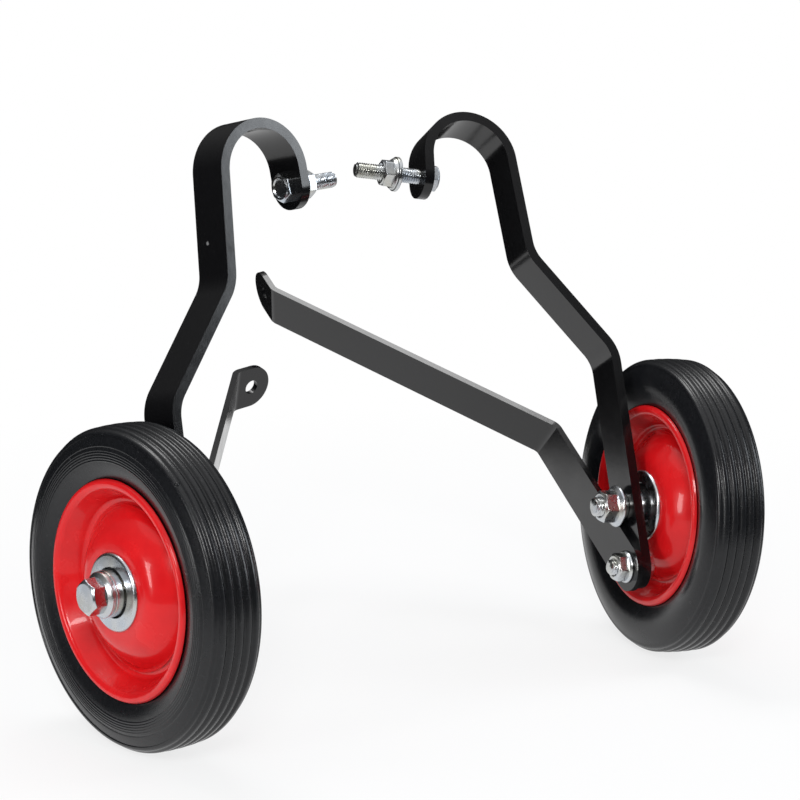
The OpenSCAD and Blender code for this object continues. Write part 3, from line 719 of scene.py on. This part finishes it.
def makeFasteners(unit):
    # axle and brace bolts point inwards through the arm, and the hook bolt out of the hook
    down = np.array([0, 0, -1.])
    b, n = bolts["axle_bolt"], nuts["axle_nut"]
    addFastener(unit + "_axle_bolt_m10", boltRows(b), b["across"], unit, "axle_bolt",
                out * seats["axle_bolt"], out, down, b)
    addFastener(unit + "_axle_nut_m10", nutRows(n), n["across"], unit, "axle_nut",
                out * seats["axle_nut"], -out, down, ring=True)
    b, n = bolts["brace_bolt"], nuts["small_nut"]
    addFastener(unit + "_brace_bolt_m8", boltRows(b), b["across"], unit, "brace_bolt",
                foot + out * seats["face"], out, down, b)
    addFastener(unit + "_brace_nut_m8", nutRows(n), n["across"], unit, "brace_nut",
                foot + out * seats["brace_nut"], -out, down, ring=True)
    hole, direction, ahead = hookPlace()
    b = bolts[unit + "_hook_bolt"]
    addFastener(unit + "_hook_bolt_m8", boltRows(b), b["across"], unit, "hook_bolt",
                hole - direction * seats["face"], -direction, ahead, b)
    back = seats["face"] + nutBack[unit]
    w = hookWasher
    corners = [(w["bore"], 0), (w["radius"], 0), (w["radius"], w["thick"]), (w["bore"], w["thick"])]
    outline = roundedCorners(corners, w["edge"], 3)
    rows = np.column_stack([outline, np.zeros(len(outline))])
    addFastener(unit + "_hook_washer_m8", rows, 1, unit, "hook_washer",
                hole + direction * back, direction, ahead, ring=True)
    addFastener(unit + "_hook_nut_m8", nutRows(n), n["across"], unit, "hook_nut",
                hole + direction * (back + w["thick"]), direction, ahead, ring=True)


for unit in units:
    makeFasteners(unit)
print("fasteners made")

# The solids that stay take the finish of their slot
for row in frame["record"]["subparts"]:
    obj = frame["nodes"][row["node"]]
    obj.data.materials.clear()
    obj.data.materials.append(finish[row["material_slot"]])


def litOrWhite(tree, lit, white):
    # what the camera, mirror rays and glass see is white, and everything else gets the plain level
    path = tree.nodes.new("ShaderNodeLightPath")
    either = path.outputs["Is Camera Ray"]
    for name in ("Is Glossy Ray", "Is Transmission Ray"):
        most = mathNode(tree, "MAXIMUM", either)
        tree.links.new(path.outputs[name], most.inputs[1])
        either = most.outputs[0]
    mix = tree.nodes.new("ShaderNodeMixShader")
    tree.links.new(either, mix.inputs[0])
    tree.links.new(lit, mix.inputs[1])
    tree.links.new(white, mix.inputs[2])
    return mix.outputs[0]


background = {"tint": (.93, .95, 1, 1), "lit": .42, "white": 1}


def makeWorld():
    # white to look at, and a soft cool light to the object
    world = bpy.data.worlds.new("studio")
    bpy.context.scene.world = world
    world.use_nodes = True
    tree = world.node_tree
    lit = tree.nodes["Background"]
    lit.inputs["Color"].default_value = background["tint"]
    lit.inputs["Strength"].default_value = background["lit"]
    white = tree.nodes.new("ShaderNodeBackground")
    white.inputs["Color"].default_value = (1, 1, 1, 1)
    white.inputs["Strength"].default_value = background["white"]
    seen = litOrWhite(tree, lit.outputs[0], white.outputs[0])
    tree.links.new(seen, tree.nodes["World Output"].inputs[0])


ground = {"half": 4, "drop": -.0002, "whiteness": [(.2, .78), (.6, 1)]}


def makeFloor():
    mesh = bpy.data.meshes.new("floor")
    corners = [(x * ground["half"], y * ground["half"], ground["drop"])
               for x, y in ((-1, -1), (1, -1), (1, 1), (-1, 1))]
    mesh.from_pydata(corners, [], [[0, 1, 2, 3]])
    floor = bpy.data.objects.new("floor", mesh)
    bpy.context.scene.collection.objects.link(floor)
    mat, tree, shader = newMaterial("pale_floor", Base_Color=(.86, .86, .86, 1), Roughness=.9)
    shader.inputs["Specular IOR Level"].default_value = 0
    # pure white far out, and a share of real floor round the object, which holds the soft shadow
    white = tree.nodes.new("ShaderNodeEmission")
    reach = distanceNode(tree, (0, 0, 0))
    share = rampNode(tree, reach.outputs["Value"], ground["whiteness"])
    mix = tree.nodes.new("ShaderNodeMixShader")
    tree.links.new(share.outputs["Color"], mix.inputs[0])
    tree.links.new(shader.outputs[0], mix.inputs[1])
    tree.links.new(white.outputs[0], mix.inputs[2])
    tree.links.new(litOrWhite(tree, shader.outputs[0], mix.outputs[0]),
                   tree.nodes["Material Output"].inputs[0])
    mesh.materials.append(mat)


# Each lamp's place and size (width, height) are in metres, and its power is in watts
lamps = {
    "key": {"place": (-1.05, -1.65, 1.35), "size": (.6, .5), "power": 20, "tint": (1, 1, 1)},
    "left": {"place": (-1.75, -.4, .42), "size": (.3, .8), "power": 9, "tint": (1, 1, 1)},
    "right": {"place": (1.5, -1.1, .75), "size": (.5, 1.1), "power": 13, "tint": (.9, .95, 1)},
    "top": {"place": (.1, .6, 1.9), "size": (1.1, .6), "power": 15, "tint": (1, 1, 1)},
}


def makeLamps():
    # each lamp looks at the middle of the object, with its width level
    target = np.array([0, 0, .13])
    for name, lamp in lamps.items():
        data = bpy.data.lights.new(name, "AREA")
        data.shape = "RECTANGLE"
        data.size, data.size_y = lamp["size"]
        data.energy = lamp["power"]
        data.color = lamp["tint"]
        obj = bpy.data.objects.new(name, data)
        back = np.array(lamp["place"]) - target
        back /= np.linalg.norm(back)
        right = np.cross([0, 0, 1.], back)
        right /= np.linalg.norm(right)
        pose = Matrix(np.column_stack([right, np.cross(back, right), back]).tolist()).to_4x4()
        pose.translation = lamp["place"]
        obj.matrix_world = pose
        bpy.context.scene.collection.objects.link(obj)


flag = {"outline": [(.5, .002), (1.6, .02), (2.4, .25), (2.5, 1.2), (2.3, 2.6)],
        "shades": [(0, .015), (.25, .03), (.6, .12), (1, .35)]}


def makeFlag():
    # a dark curtain round the table, its outline turned about z, which only shows in gloss and metal
    count = around["curtain"]
    a = np.linspace(0, 2 * np.pi, count, endpoint=False)[None, :]
    r, h = np.array(flag["outline"]).T[:, :, None]
    points = np.stack(np.broadcast_arrays(r * np.sin(a), r * np.cos(a), h), -1)
    mesh = bpy.data.meshes.new("flag")
    mesh.from_pydata(points.reshape(-1, 3).tolist(), [], gridFaces(len(flag["outline"]), count))
    curtain = bpy.data.objects.new("flag", mesh)
    bpy.context.scene.collection.objects.link(curtain)
    # the curtain glows by itself, from nearly black at the foot to mid grey at the top
    mat, tree, shader = newMaterial("dark_curtain")
    coord = tree.nodes.new("ShaderNodeTexCoord")
    parts = tree.nodes.new("ShaderNodeSeparateXYZ")
    tree.links.new(coord.outputs["Object"], parts.inputs[0])
    share = mathNode(tree, "DIVIDE", parts.outputs["Z"], flag["outline"][-1][1])
    shade = rampNode(tree, share.outputs[0], flag["shades"])
    glow = tree.nodes.new("ShaderNodeEmission")
    tree.links.new(shade.outputs["Color"], glow.inputs["Color"])
    tree.links.new(glow.outputs[0], tree.nodes["Material Output"].inputs[0])
    mesh.materials.append(mat)
    for kind in ("camera", "diffuse", "transmission", "shadow", "volume_scatter"):
        setattr(curtain, "visible_" + kind, False)


makeWorld()
makeFlag()
makeFloor()
makeLamps()
bpy.context.scene.view_settings.view_transform = "Standard"
print("studio set")
